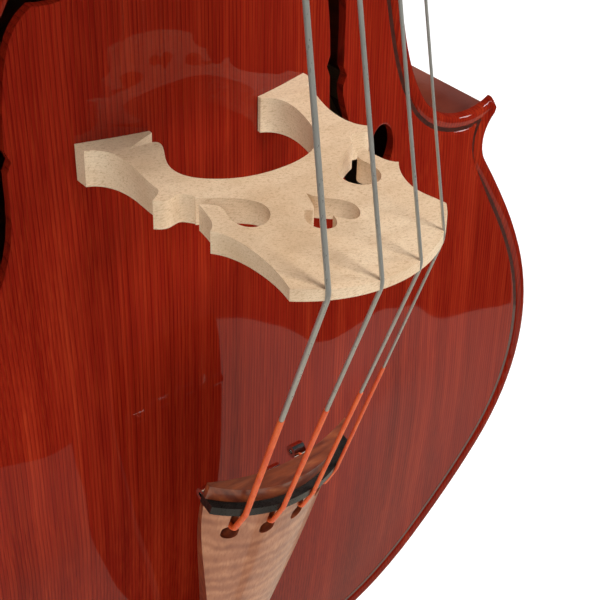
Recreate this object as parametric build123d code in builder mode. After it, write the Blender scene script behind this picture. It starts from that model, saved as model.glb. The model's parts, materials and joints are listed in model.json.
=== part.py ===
"""Double bass, standing upright on its endpin.

Frame: +Z up along the strings, the belly faces -Y, the treble (G) side is +X.
The origin is the centre of the rubber tip's underside, on the floor.
Millimetres.  On the body, places are given as (x, z) with z counted from the bridge's middle
plane, and as a height h in front of the belly's crown.
"""
from build123d import *
from math import atan, cos, degrees, hypot, pi, radians, sin, sqrt, tan
import os

os.makedirs("parts", exist_ok=True)

# ---------------------------------------------------------------- driving dimensions
bridge_z = 650.0            # height of the bridge over the floor
joint_y = 100.0             # the ribs reach from -joint_y to +joint_y
plate_base = 5.8            # thickness of the plates in the flat channel along the edge
belly_rise = 29.2           # arching over the channel
back_rise = 20.0
belly_crown_y = -(joint_y + plate_base + belly_rise)
body_bottom = -521.0        # z of the plates' lower end, from the bridge
body_top = 597.0            # z of the plates' upper end
overhang = 5.0              # plates beyond the ribs
rib_thickness = 3.0
lining_thickness = 6.0
lining_height = 18.0

string_names = ["e", "a", "d", "g"]
string_radius = [1.6, 1.25, 1.0, 0.8]
silk_extra = 0.35
bridge_spacing = 28.0
nut_spacing = 10.3
tail_spacing = 24.0
crown_x, crown_h, crown_radius = -6.0, 90.0, 81.0   # centre and radius of the bridge's crown
bridge_bearing_z = -8.0
nut_z = 1053.0
nut_string_h = -53.0
neck_slope = 0.19           # the neck leans back by this much per unit of height
neck_h_at_nut = -69.0       # the neck's glue face at the nut
silk_start_z = -115.0

tail_shift = 3.0            # the tailpiece hangs a little to the treble side
saddle_z = -514.0
saddle_h = -16.0
fret_z = -216.0
fret_h = 84.0
fret_reach = hypot(fret_z - saddle_z, fret_h - saddle_h)
tail_slope = atan((fret_h - saddle_h) / (fret_z - saddle_z))
tail_arch = 80.0            # radius of the tailpiece's arched face
tail_hollow = 140.0         # radius of its hollow underside
tail_thickness = 13.0
fret_height = 5.0

rod_radius = 5.0
running = 0.05              # radial clearance of a running fit


def save(piece, name):
    """Label a finished piece and write it."""
    piece.label = name
    export_step(piece, f"parts/{name}.step")


def front(h):
    """The Y of a height h in front of the belly's crown."""
    return belly_crown_y - h


def body_plane(y):
    """Sketch plane across the body at depth y: x to the treble side, y up from the bridge."""
    return Plane(origin=(0, y, bridge_z), x_dir=(1, 0, 0), z_dir=(0, -1, 0))


def level_plane(z):
    """Sketch plane level with the floor at z from the bridge: x to the treble side, y = h."""
    return Plane(origin=(0, belly_crown_y, bridge_z + z), x_dir=(1, 0, 0), z_dir=(0, 0, -1))


side_plane = Plane(origin=(0, 0, bridge_z), x_dir=(0, 1, 0), z_dir=(1, 0, 0))


# ---------------------------------------------------------------- outline of the body
lower_bout = [(0, -521), (172, -496), (256, -428), (312, -352), (328, -278),
              (311, -198), (280, -138), (264, -104), (263.5, -86), (272, -74)]
middle_bout = [(265.5, -63), (239, -69), (212, -59), (191, -32), (176, 14),
               (165, 78), (170, 138), (184, 184), (204, 207), (229, 212)]
upper_bout = [(235, 223), (228, 236), (228, 256), (238, 295), (254, 335), (262, 385),
              (249, 447), (205, 506), (138, 554), (64, 584), (26, 597)]
bass_side_lower = [(-x, z) for x, z in lower_bout[:0:-1]]
bass_side_middle = [(-x, z) for x, z in middle_bout[::-1]]
bass_side_upper = [(-x, z) for x, z in upper_bout[::-1]]

def beside(guide, share, shift):
    """The point at a share of a guide curve, shifted to its left."""
    along = guide % share
    return guide @ share + Vector(-along.Y, along.X) * shift


def tangent_arcs(guide, pairs, shift=0.0):
    """Follow a guide curve, shifted to its left, with pairs of arcs tangent to each other."""
    for n in range(pairs):
        start = beside(guide, n / pairs, shift)
        end = beside(guide, (n + 1) / pairs, shift)
        leaving = guide % (n / pairs)
        arriving = guide % ((n + 1) / pairs)
        chord = end - start
        pull = chord.dot(leaving + arriving)
        bend = 2 * (1 - leaving.dot(arriving))
        reach = (sqrt(pull**2 + bend * chord.dot(chord)) - pull) / bend
        joint = (start + leaving * reach + end - arriving * reach) / 2
        first = TangentArc(start, joint, tangent=leaving)
        TangentArc(joint, end, tangent=first % 1)


lower_guide = Spline(bass_side_lower + lower_bout)
middle_guide = Spline(middle_bout)
upper_guide = Spline(upper_bout)
upper_guide_bass = Spline(bass_side_upper)
middle_guide_bass = Spline(bass_side_middle)
# each bout: its guide, its pairs of arcs, and points far outside that it is closed around
bouts = [(lower_guide, 14, [(420, -60), (420, -620), (-420, -620), (-420, -60)]),
         (middle_guide, 7, []),
         (upper_guide, 7, [(60, 680), (420, 680), (420, 250)]),
         (upper_guide_bass, 7, [(-420, 250), (-420, 680), (-60, 680)]),
         (middle_guide_bass, 7, [])]
tips = []
for n, bout in enumerate(bouts):
    following = bouts[(n + 1) % len(bouts)]
    tips.append(Line(bout[0] @ 1, following[0] @ 0))

with BuildSketch() as plate_outline:
    with BuildLine():
        for guide, pairs, far in bouts:
            tangent_arcs(guide, pairs)
        for tip in tips:
            Line(tip @ 0, tip @ 1)
    make_face()

outline_face = plate_outline.faces()[0]
outline_wire = outline_face.outer_wire()


def inset(amount):
    """The plates' outline drawn in by amount: the outline less a band along each of its edges."""
    clear = 12.0
    run_on = 6.0
    with BuildSketch() as sketch:
        add(plate_outline.sketch)
        for guide, pairs, far in bouts:
            before = (guide % 0) * run_on
            after = (guide % 1) * run_on
            with BuildLine():
                tangent_arcs(guide, pairs, amount)
                Polyline(beside(guide, 1, amount), beside(guide, 1, amount) + after,
                         beside(guide, 1, -clear) + after, *far, beside(guide, 0, -clear) - before,
                         beside(guide, 0, amount) - before, beside(guide, 0, amount))
            make_face(mode=Mode.SUBTRACT)
        for tip in tips:
            along = (tip % 0) * run_on / 2
            with BuildLine():
                Polyline(beside(tip, 0, amount) - along, beside(tip, 1, amount) + along,
                         beside(tip, 1, -clear) + along, beside(tip, 0, -clear) - along, close=True)
            make_face(mode=Mode.SUBTRACT)
    return Sketch() + sketch.faces().sort_by(SortBy.AREA)[-1]


rib_outside = inset(overhang)
rib_inside = inset(overhang + rib_thickness)
lining_inside = inset(overhang + rib_thickness + lining_thickness)


# ---------------------------------------------------------------- arching
def edge_distance(x, z):
    """How far (x, z) lies inside the outline; 0 outside it."""
    spot = Vector(x, z, 0)
    if not outline_face.is_inside(spot):
        return 0.0
    return outline_wire.distance_to(spot)


def arch_height(x, z, rise, margin):
    """Height of an arched plate over its channel, which is margin wide."""
    middle = (body_top + body_bottom) / 2
    half_length = (body_top - body_bottom) / 2 - margin
    along = min(1.0, abs(z - middle) / half_length)
    ridge = rise * (1 - along**2.6)
    half_width = edge_distance(0, z)
    if half_width <= margin:
        return 0.0
    across = (edge_distance(x, z) - margin) / (half_width - margin)
    across = max(0.0, min(1.0, across))
    return ridge * 0.5 * (1 - cos(pi * across))


def arched_face(side, base, rise, margin):
    """A smooth arched surface on the front (-1) or the back (+1) of the body."""
    columns = 29
    rows = 49
    grid = []
    for row in range(rows):
        z = -545 + 1165 * row / (rows - 1)
        line = []
        for column in range(columns):
            x = -345 + 690 * column / (columns - 1)
            height = base + arch_height(x, z, rise, margin)
            line.append(Vector(x, side * (joint_y + height), bridge_z + z))
        grid.append(line)
    return Face.make_surface_from_array_of_points(grid, tol=0.1, smoothing=(1, 0.1, 0.1), max_deg=5)


channel_width = 13.0
flat_margin = 32.0
belly_outer = arched_face(-1, plate_base, belly_rise, channel_width)
belly_inner = arched_face(-1, -1.0, belly_rise - 1.0, flat_margin)
back_outer = arched_face(1, plate_base, back_rise, channel_width)
back_inner = arched_face(1, -1.0, back_rise - 1.0, flat_margin)

# ---------------------------------------------------------------- sound holes
hole_x = 114.0              # middle of the stem
bass_hole_shift = 12.0      # the bridge stands this much nearer to the treble hole
eye_low = (160.0, -70.0)
eye_high = (72.0, 108.0)


with BuildSketch() as treble_hole:
    with BuildLine():
        Spline([(hole_x + 8, 0), (hole_x + 6, 52), (96, 96), (62, 121)], tangents=[(0.02, 1), (-1, 0.02)])
        Spline([(62, 121), (60, 104), (84, 93)], tangents=[(-1, -0.4), (1, 0.1)])
        Spline([(84, 93), (103, 52), (hole_x - 8, 14)], tangents=[(0.7, -0.5), (0, -1)])
        Line((hole_x - 8, 14), (hole_x - 11, 7))
        Line((hole_x - 11, 7), (hole_x - 8, 0))
        Spline([(hole_x - 8, 0), (109, -45), (128, -88), (163, -104)], tangents=[(-0.02, -1), (1, -0.05)])
        Spline([(163, -104), (166, -88), (146, -76)], tangents=[(1, 0.4), (-1, 0)])
        Spline([(146, -76), (128, -40), (hole_x + 8, -14)], tangents=[(-0.7, 0.5), (0, 1)])
        Line((hole_x + 8, -14), (hole_x + 11, -7))
        Line((hole_x + 11, -7), (hole_x + 8, 0))
    make_face()
    with Locations(eye_low):
        Ellipse(11.5, 17)
    with Locations(eye_high):
        Ellipse(10, 14)

# ---------------------------------------------------------------- end saddle
saddle_half = 45.0
saddle_depth = 18.0         # how far the saddle reaches in from the plate's end
saddle_line = front(saddle_h)

with BuildSketch() as saddle_shape:
    with Locations((0, body_bottom)):
        Rectangle(2 * saddle_half, 2 * saddle_depth)
    add(plate_outline.sketch, mode=Mode.INTERSECT)

# ---------------------------------------------------------------- top plate
heel_half = 33.3            # half the heel's width where it is let into the body
neck_mortise = 12.0         # how deep the heel is let into the body
purfling_inset = 9.0
purfling_width = 3.2
purfling_depth = 2.0
purfling_surface = plate_base - 0.4
purfling_ring = inset(purfling_inset) - inset(purfling_inset + purfling_width)


with BuildPart() as top_plate:
    with BuildSketch(body_plane(-joint_y)):
        add(plate_outline.sketch)
        add(saddle_shape.sketch, mode=Mode.SUBTRACT)
        with Locations((0, body_top)):
            Rectangle(2 * heel_half, 2 * neck_mortise, mode=Mode.SUBTRACT)
    extrude(amount=60)
    extrude(belly_outer, amount=80, dir=(0, 1, 0), mode=Mode.INTERSECT)
    extrude(belly_inner, amount=80, dir=(0, 1, 0), mode=Mode.SUBTRACT)
    with BuildSketch(body_plane(-joint_y + 10)):
        add(treble_hole.sketch)
        add(Pos(-bass_hole_shift, 0) * mirror(treble_hole.sketch, about=Plane.YZ, mode=Mode.PRIVATE))
    extrude(amount=60, mode=Mode.SUBTRACT)
    with BuildSketch(body_plane(-joint_y - purfling_surface + purfling_depth)):
        add(purfling_ring)
    extrude(amount=10, mode=Mode.SUBTRACT)
save(top_plate.part, "top_plate")

# ---------------------------------------------------------------- back plate, with its button
button_radius = 27.0

with BuildPart() as back_plate:
    with BuildSketch(body_plane(joint_y)):
        add(plate_outline.sketch)
    extrude(amount=-50)
    extrude(back_outer, amount=70, dir=(0, -1, 0), mode=Mode.INTERSECT)
    extrude(back_inner, amount=70, dir=(0, -1, 0), mode=Mode.SUBTRACT)
    with BuildSketch(body_plane(joint_y + purfling_surface - purfling_depth)):
        add(purfling_ring)
    extrude(amount=-10, mode=Mode.SUBTRACT)
    with BuildSketch(body_plane(joint_y)):
        with Locations((0, body_top)):
            Circle(button_radius)
        with Locations((0, body_top - button_radius - 4)):
            Rectangle(3 * button_radius, 2 * button_radius, mode=Mode.SUBTRACT)
    extrude(amount=-plate_base + 0.5)
save(back_plate.part, "back_plate")

purfling_floor = joint_y + purfling_surface - purfling_depth
for name, plane, direction in [("top_purfling", body_plane(-purfling_floor), 1),
                               ("back_purfling", body_plane(purfling_floor), -1)]:
    with BuildPart() as purfling:
        with BuildSketch(plane):
            add(purfling_ring)
            if direction > 0:
                add(saddle_shape.sketch, mode=Mode.SUBTRACT)
                with Locations((0, body_top)):
                    Rectangle(2 * heel_half, 2 * neck_mortise, mode=Mode.SUBTRACT)
        extrude(amount=direction * (purfling_depth - 0.4))
    save(purfling.part, name)

# ---------------------------------------------------------------- blocks inside the body
neck_block_half = 65.0
neck_block_depth = 52.0
end_block_half = 75.0
end_block_depth = 44.0
inner_top = body_top - overhang - rib_thickness
inner_bottom = body_bottom + overhang + rib_thickness
plug_radius = 14.0          # the endpin's wooden collar, where it goes through the end block

lower_cut = [(285, -58), (264.6, -71.2), (260.5, -74.2), (236, -92)]
upper_cut = [(206, 231), (224.9, 221.2), (227.6, 219.8), (285, 205)]

with BuildPart() as neck_block:
    with BuildSketch(body_plane(joint_y)):
        with Locations((0, inner_top - neck_block_depth / 2)):
            Rectangle(2 * neck_block_half, neck_block_depth + 10)
        add(rib_inside, mode=Mode.INTERSECT)
        with Locations((0, body_top)):
            Rectangle(2 * heel_half, 2 * neck_mortise, mode=Mode.SUBTRACT)
    extrude(amount=2 * joint_y)
save(neck_block.part, "neck_block")

with BuildPart() as end_block:
    with BuildSketch(body_plane(joint_y)):
        with Locations((0, inner_bottom + end_block_depth / 2)):
            Rectangle(2 * end_block_half, end_block_depth + 10)
        add(rib_inside, mode=Mode.INTERSECT)
    extrude(amount=2 * joint_y)
    with BuildSketch(Plane.XY.offset(bridge_z + body_bottom)):
        Circle(plug_radius)
    extrude(amount=2 * end_block_depth, mode=Mode.SUBTRACT)
save(end_block.part, "end_block")

with BuildPart() as corner_blocks:
    with BuildSketch(body_plane(joint_y)):
        with BuildLine():
            Polyline((300, -20), (212, -66), (246, -118), (300, -130), close=True)
        make_face()
        with BuildLine():
            Polyline((300, 170), (196, 210), (212, 262), (300, 262), close=True)
        make_face()
        add(rib_inside, mode=Mode.INTERSECT)
        mirror(about=Plane.YZ)
    extrude(amount=2 * joint_y)
save(corner_blocks.part, "corner_blocks")

# ---------------------------------------------------------------- ribs
rib_ring = rib_outside - rib_inside
rib_regions = {
    "lower_rib": [(0, -560), (400, -560), (400, -20)] + lower_cut + [(0, -90)],
    "middle_rib": [(100, -90)] + lower_cut[::-1] + upper_cut[::-1] + [(100, 236)],
    "upper_rib": [(heel_half, 236)] + upper_cut + [(400, 206), (400, 650), (heel_half, 650)],
}

for name, corners in rib_regions.items():
    for side, sign in [("treble", 1), ("bass", -1)]:
        with BuildPart() as rib:
            with BuildSketch(body_plane(joint_y)):
                with BuildLine():
                    Polyline(*[(sign * x, z) for x, z in corners], close=True)
                make_face()
                add(rib_ring, mode=Mode.INTERSECT)
            extrude(amount=2 * joint_y)
            with BuildSketch(Plane.XY.offset(bridge_z + body_bottom - 10)):
                Circle(plug_radius)
            extrude(amount=60, mode=Mode.SUBTRACT)
        save(rib.part, f"{side}_{name}")

# ---------------------------------------------------------------- linings along the ribs' edges
lining_ring = rib_inside - lining_inside
for name, first_y in [("top_linings", -joint_y + lining_height), ("back_linings", joint_y)]:
    with BuildPart() as linings:
        with BuildSketch(body_plane(first_y)):
            add(lining_ring)
        extrude(amount=lining_height)
        add(neck_block.part, mode=Mode.SUBTRACT)
        add(end_block.part, mode=Mode.SUBTRACT)
        add(corner_blocks.part, mode=Mode.SUBTRACT)
        with BuildSketch(body_plane(first_y)):
            with Locations((0, body_top), (0, body_bottom)):
                Rectangle(2 * heel_half + 60, 90, mode=Mode.ADD)
        extrude(amount=lining_height, mode=Mode.SUBTRACT)
    save(linings.part, name)

# ---------------------------------------------------------------- bass bar and sound post
bass_bar_x = -38.0
bass_bar_width = 20.0
bass_bar_half = 400.0
bass_bar_middle = 30.0

with BuildPart() as bass_bar:
    with BuildSketch(side_plane.offset(bass_bar_x - bass_bar_width / 2)):
        with BuildLine():
            edge = ThreePointArc((-joint_y - 3, bass_bar_middle - bass_bar_half),
                                 (-joint_y + 14, bass_bar_middle),
                                 (-joint_y - 3, bass_bar_middle + bass_bar_half))
            Polyline(edge @ 1, (-joint_y - 60, bass_bar_middle + bass_bar_half),
                     (-joint_y - 60, bass_bar_middle - bass_bar_half), edge @ 0)
        make_face()
    extrude(amount=bass_bar_width)
    extrude(belly_inner, amount=80, dir=(0, 1, 0), mode=Mode.INTERSECT)
save(bass_bar.part, "bass_bar")

with BuildPart() as sound_post:
    with BuildSketch(body_plane(joint_y + 60)):
        with Locations((46, -34)):
            Circle(9)
    extrude(amount=2 * joint_y + 120)
    extrude(belly_inner, amount=200, dir=(0, 1, 0), mode=Mode.INTERSECT)
    extrude(back_inner, amount=200, dir=(0, -1, 0), mode=Mode.INTERSECT)
save(sound_post.part, "sound_post")

# ---------------------------------------------------------------- saddle at the plate's end
with BuildPart() as end_saddle:
    with BuildSketch(body_plane(-joint_y)):
        add(saddle_shape.sketch)
    extrude(amount=-saddle_line - joint_y)
    chamfer(end_saddle.edges().filter_by(Axis.X).group_by(Axis.Y)[0], 4)
save(end_saddle.part, "end_saddle")

# ---------------------------------------------------------------- frames of the tailpiece and the head
def tail_point(x, along, out):
    """A point of the tailpiece's frame: along from the saddle to the fret, out from the belly."""
    z = saddle_z + along * cos(tail_slope) - out * sin(tail_slope)
    h = saddle_h + along * sin(tail_slope) + out * cos(tail_slope)
    return Vector(tail_shift + x, front(h), bridge_z + z)


tail_along = Vector(0, -sin(tail_slope), cos(tail_slope))
tail_out = Vector(0, -cos(tail_slope), -sin(tail_slope))
tail_face = Plane(origin=tail_point(0, 0, 0), x_dir=(1, 0, 0), z_dir=tail_out)
tail_section = Plane(origin=tail_point(0, 0, 0), x_dir=(1, 0, 0), z_dir=-tail_along)

lean = atan(neck_slope)
nut_origin = Vector(0, front(neck_h_at_nut), bridge_z + nut_z)
head_up = Vector(0, sin(lean), cos(lean))
head_back = Vector(0, cos(lean), -sin(lean))
head_side = Plane(origin=nut_origin, x_dir=head_back, z_dir=(1, 0, 0))


def head_point(x, back, up):
    """A point of the head's frame: back from the neck's glue face, up from the nut."""
    return nut_origin + Vector(x, 0, 0) + head_back * back + head_up * up


# ---------------------------------------------------------------- tuning machines: places
post_up = [52.0, 124.0, 160.0, 88.0]         # e, a, d, g: height of each post over the nut
post_side = [-1, -1, 1, 1]                   # e and a on the bass cheek, d and g on the treble one
post_back = 26.0
post_radius = 6.0
winding_x = [-8.5, -4.5, 4.5, 10.0]
winding_turns = 5

# ---------------------------------------------------------------- strings
nut_h = [nut_string_h - 1.5, nut_string_h, nut_string_h, nut_string_h - 1.5]
string_seat = 0.4           # the string's centre over the wood it rests on
hook_along = 290.0          # where the strings dive through the tailpiece
hook_out = -25.0            # the ball ends hang this far under the tailpiece's crown line


def bridge_point(i):
    x = bridge_spacing * (i - 1.5)
    h = crown_h + sqrt(crown_radius**2 - (x - crown_x)**2) + string_seat
    return Vector(x, front(h), bridge_z + bridge_bearing_z)


def nut_point(i):
    return Vector(nut_spacing * (i - 1.5), front(nut_h[i]), bridge_z + nut_z + 3)


def fret_out(x):
    """Height of the fret's crown over the tail frame's plane at x."""
    return sqrt((tail_arch + fret_height)**2 - x**2) - tail_arch


def fret_point(i):
    x = tail_spacing * (i - 1.5)
    return tail_point(x, fret_reach, fret_out(x) + string_radius[i] + silk_extra - 0.3)


def hook_point(i, drop):
    x = tail_spacing * (i - 1.5)
    return tail_point(x, hook_along, fret_out(x) - fret_height + drop)


def post_point(i):
    gap = post_radius + 3 * string_radius[i] + 0.6
    return head_point(winding_x[i], post_back - gap, post_up[i] - 2)


def between(start, end, part):
    return start + (end - start) * part


strings = []
for i, name in enumerate(string_names):
    r = string_radius[i]
    bridge_top = bridge_point(i)
    fret_top = fret_point(i)
    silk_part = (bridge_z + silk_start_z - bridge_top.Z) / (fret_top.Z - bridge_top.Z)
    silk_start = between(bridge_top, fret_top, silk_part)
    with BuildPart() as string:
        with BuildLine() as path:
            FilletPolyline(silk_start, bridge_top, nut_point(i), post_point(i), radius=(15, 8))
        with BuildSketch(Plane(origin=path.line @ 0, z_dir=path.line % 0)):
            Circle(r)
        sweep()
    strings.append(string.part)
    save(string.part, f"{name}_string")

    with BuildPart() as silk:
        with BuildLine() as path:
            FilletPolyline(silk_start, fret_top, hook_point(i, 1.5), hook_point(i, hook_out), radius=(6, 5))
        with BuildSketch(Plane(origin=path.line @ 0, z_dir=path.line % 0)):
            Circle(r + silk_extra)
        sweep()
    strings.append(silk.part)
    save(silk.part, f"{name}_string_silk")

with BuildPart() as ball_ends:
    for i in range(4):
        hook = hook_point(i, hook_out - 4.5)
        with BuildSketch(Plane(origin=hook - Vector(4.5, 0, 0), z_dir=(1, 0, 0))):
            Circle(4.5)
            Circle(1.8, mode=Mode.SUBTRACT)
        extrude(amount=9)
save(ball_ends.part, "ball_ends")

# ---------------------------------------------------------------- bridge
bridge_foot_depth = 22.5
bridge_crown_depth = 5.6

with BuildPart() as bridge:
    with BuildSketch(level_plane(0)):
        with BuildLine():
            crown = ThreePointArc((-58, crown_h + sqrt(crown_radius**2 - (58 + crown_x)**2)),
                                  (0, crown_h + sqrt(crown_radius**2 - crown_x**2)),
                                  (60, crown_h + sqrt(crown_radius**2 - (60 - crown_x)**2)))
            right = Spline([crown @ 1, (55, 121), (64, 93)], tangents=[(-0.25, -1), (0.8, -0.9)])
            Spline([right @ 1, (57, 80), (55.5, 70)], tangents=[(-0.9, -0.5), (-0.1, -1)])
            Line((55.5, 70), (53.5, 63.5))
            Spline([(53.5, 63.5), (60, 57.5), (67, 59), (74.5, 55.5)], tangents=[(0.6, -0.8), (0.7, -0.7)])
            Spline([(74.5, 55.5), (66.5, 45), (66, 23), (71, 3),
                    (80, -4)], tangents=[(-0.9, -0.5), (1, -0.3)])
            Polyline((80, -4), (80, -16), (38, -16), (38, -1))
            Spline([(38, -1), (47, 8), (47.5, 28), (35, 55), (0, 64.5), (-35, 55), (-47.5, 28), (-47, 8),
                    (-38, -1)], tangents=[(1, 0.4), (1, -0.4)])
            Polyline((-38, -1), (-38, -16), (-80, -16), (-80, -4))
            Spline([(-80, -4), (-71, 3), (-66, 23), (-66.5, 45), (-74.5, 55.5)],
                   tangents=[(1, 0.3), (-0.9, 0.5)])
            Spline([(-74.5, 55.5), (-67, 59), (-60, 57.5), (-53.5, 63.5)], tangents=[(0.7, 0.7), (0.6, 0.8)])
            Line((-53.5, 63.5), (-55.5, 70))
            left = Spline([(-55.5, 70), (-57, 80), (-64, 93)], tangents=[(-0.1, 1), (-0.9, 0.5)])
            Spline([left @ 1, (-55, 121), crown @ 0], tangents=[(0.8, 0.9), (-0.25, 1)])
        make_face()
        with BuildLine():
            Spline([(60, 63), (46, 69), (33, 78), (26, 89), (33, 101), (44, 101), (49, 90),
                    (47, 79), (60, 68)],
                   tangents=[(-1, 0.2), (1, -0.6)])
            Line((60, 68), (60, 63))
        make_face(mode=Mode.SUBTRACT)
        with BuildLine():
            Spline([(-60, 63), (-46, 69), (-33, 78), (-26, 89), (-33, 101), (-44, 101), (-49, 90), (-47, 79),
                    (-60, 68)], tangents=[(1, 0.2), (-1, -0.6)])
            Line((-60, 68), (-60, 63))
        make_face(mode=Mode.SUBTRACT)
        with BuildLine():
            Spline([(0, 91), (10, 103), (16, 115), (9, 123), (0, 114)], tangents=[(0.3, 1), (-0.2, -1)])
            Spline([(0, 114), (-9, 123), (-16, 115), (-10, 103), (0, 91)], tangents=[(-0.2, 1), (0.3, -1)])
        make_face(mode=Mode.SUBTRACT)
    extrude(amount=bridge_foot_depth / 2, both=True)
    with BuildSketch(side_plane.offset(-120)):
        with BuildLine():
            Polyline((front(6), bridge_foot_depth / 2),
                     (front(173), bridge_crown_depth - bridge_foot_depth / 2),
                     (front(190), bridge_foot_depth), (front(6), bridge_foot_depth), close=True)
        make_face()
    extrude(amount=240, mode=Mode.SUBTRACT)
    extrude(belly_outer, amount=80, dir=(0, 1, 0), mode=Mode.SUBTRACT)
    for piece in strings:
        add(piece, mode=Mode.SUBTRACT)
save(bridge.part, "bridge")

# ---------------------------------------------------------------- tailpiece, its fret and its wire
tail_half_widths = [(19, 22), (21, 90), (28, 155), (41, 225), (50, 275), (54, 315)]
tail_end = 332.0
tail_start = 22.0
keyhole_along = 284.0
keyhole_length = 14.0
keyhole_width = 10.0
string_slot = 4.4
wire_radius = 2.5
wire_x = 8.0


def arched_strip(inner, outer):
    """Section of an arched strip whose outside crown line is the tail frame's plane."""
    with Locations((0, -tail_arch)):
        Circle(outer)
        Circle(inner, mode=Mode.SUBTRACT)
    with Locations((0, -tail_arch - outer)):
        Rectangle(2 * outer + 2, 2 * outer, mode=Mode.SUBTRACT)


with BuildPart() as tailpiece:
    with BuildSketch(tail_section.offset(-tail_start)):
        with Locations((0, -tail_arch)):
            Circle(tail_arch)
        with Locations((0, -tail_thickness - tail_hollow)):
            Circle(tail_hollow, mode=Mode.SUBTRACT)
    extrude(amount=tail_start - tail_end)
    with BuildSketch(tail_face.offset(-60)):
        with BuildLine():
            side = Spline(tail_half_widths, tangents=[(0, 1), (0.05, 1)])
            Polyline(side @ 1, (53.5, tail_end), (0, tail_end))
            Line((0, tail_start), side @ 0)
            mirror(about=Plane.YZ)
        make_face()
    extrude(amount=80, mode=Mode.INTERSECT)
    with BuildSketch(tail_section.offset(-fret_reach + 4.1)):
        arched_strip(tail_arch - 3, tail_arch + 10)
    extrude(amount=-8.2, mode=Mode.SUBTRACT)
    for i in range(4):
        x = tail_spacing * (i - 1.5)
        with BuildSketch(tail_face.offset(-60)):
            with Locations((x, keyhole_along - 1)):
                SlotOverall(keyhole_length, keyhole_width, rotation=90)
            with Locations((x, keyhole_along + 11)):
                Rectangle(string_slot, 22)
        extrude(amount=80, mode=Mode.SUBTRACT)
    with BuildSketch(tail_face.offset(-60)):
        with Locations((-wire_x, tail_start + 12), (wire_x, tail_start + 12)):
            Circle(wire_radius + 0.4)
    extrude(amount=80, mode=Mode.SUBTRACT)
save(tailpiece.part, "tailpiece")

with BuildPart() as tailpiece_fret:
    with BuildSketch(tail_section.offset(-fret_reach + 4)):
        arched_strip(tail_arch - 3, tail_arch + fret_height)
    extrude(amount=-8)
    with BuildSketch(tail_face.offset(-60)):
        with Locations((0, fret_reach)):
            Rectangle(107, 12)
    extrude(amount=80, mode=Mode.INTERSECT)
    for piece in strings:
        add(piece, mode=Mode.SUBTRACT)
save(tailpiece_fret.part, "tailpiece_fret")

collar_radius = 16.0
wire_reach = collar_radius + wire_radius + 0.6
wire_drop_z = body_bottom + overhang - wire_radius - 0.5


def wire_side(side):
    """One half of the tail wire's route, from under the tailpiece to behind the collar."""
    hole = tail_start + 12
    return [tail_point(side * wire_x, hole, -tail_thickness - 4), tail_point(side * wire_x, hole, 6),
            tail_point(side * wire_x - tail_shift, 0, wire_radius + 1.0),
            Vector(side * 17, front(saddle_h + 2), bridge_z + body_bottom - 8),
            Vector(side * wire_reach, wire_reach, bridge_z + wire_drop_z)]


with BuildPart() as tail_wire:
    with BuildLine() as path:
        FilletPolyline(*wire_side(-1), *wire_side(1)[::-1], radius=(5, 8, 12, 16, 16, 12, 8, 5))
    with BuildSketch(Plane(origin=path.line @ 0, z_dir=path.line % 0)):
        Circle(wire_radius)
    sweep()
save(tail_wire.part, "tail_wire")

# ---------------------------------------------------------------- fingerboard and nut
head_foot = Plane(origin=nut_origin, x_dir=(1, 0, 0), z_dir=head_up)
board_end_z = 183.0
board_half_nut = 21.5
board_half_end = 43.0
board_side = 10.0
board_h_nut = -57.0
board_h_end = 119.0


def neck_h(z):
    """Height of the neck's glue face at z."""
    return neck_h_at_nut + neck_slope * (nut_z - z)


def board_h(z):
    """Height of the fingerboard's crown at z."""
    return board_h_nut + (board_h_end - board_h_nut) * (nut_z - z) / (nut_z - board_end_z)


def board_half(z):
    return board_half_nut + (board_half_end - board_half_nut) * (nut_z - z) / (nut_z - board_end_z)


with BuildPart() as fingerboard:
    for z in (nut_z + 8, board_end_z):
        half = board_half(z)
        crown = board_h(z)
        with BuildSketch(level_plane(z)):
            with BuildLine():
                low = neck_h(z)
                top = ThreePointArc((-half, low + board_side), (0, crown), (half, low + board_side))
                Polyline(top @ 1, (half, low), (-half, low), top @ 0)
            make_face()
    loft(ruled=True)
    split(bisect_by=head_foot, keep=Keep.BOTTOM)
    with BuildSketch(side_plane.offset(-60)):
        with BuildLine():
            Polyline((front(neck_h(555)), 555), (front(neck_h(520) + 4), 520),
                     (front(neck_h(board_end_z) + 7), board_end_z - 1),
                     (front(neck_h(board_end_z) - 9), board_end_z - 1), close=True)
        make_face()
    extrude(amount=120, mode=Mode.SUBTRACT)
save(fingerboard.part, "fingerboard")

with BuildPart() as nut:
    with BuildSketch(head_foot):
        with BuildLine():
            nut_front = -(nut_string_h - neck_h_at_nut)
            top = ThreePointArc((-board_half_nut, -board_side - 1), (0, nut_front + 0.4),
                                (board_half_nut, -board_side - 1))
            Polyline(top @ 1, (board_half_nut, 0), (-board_half_nut, 0), top @ 0)
        make_face()
    extrude(amount=8)
    for piece in strings:
        add(piece, mode=Mode.SUBTRACT)
save(nut.part, "nut")

# ---------------------------------------------------------------- neck with its heel
shaft_depth_nut = 28.0
shaft_depth_heel = 36.0
heel_bottom_y = joint_y
heel_length = 34.0

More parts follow.
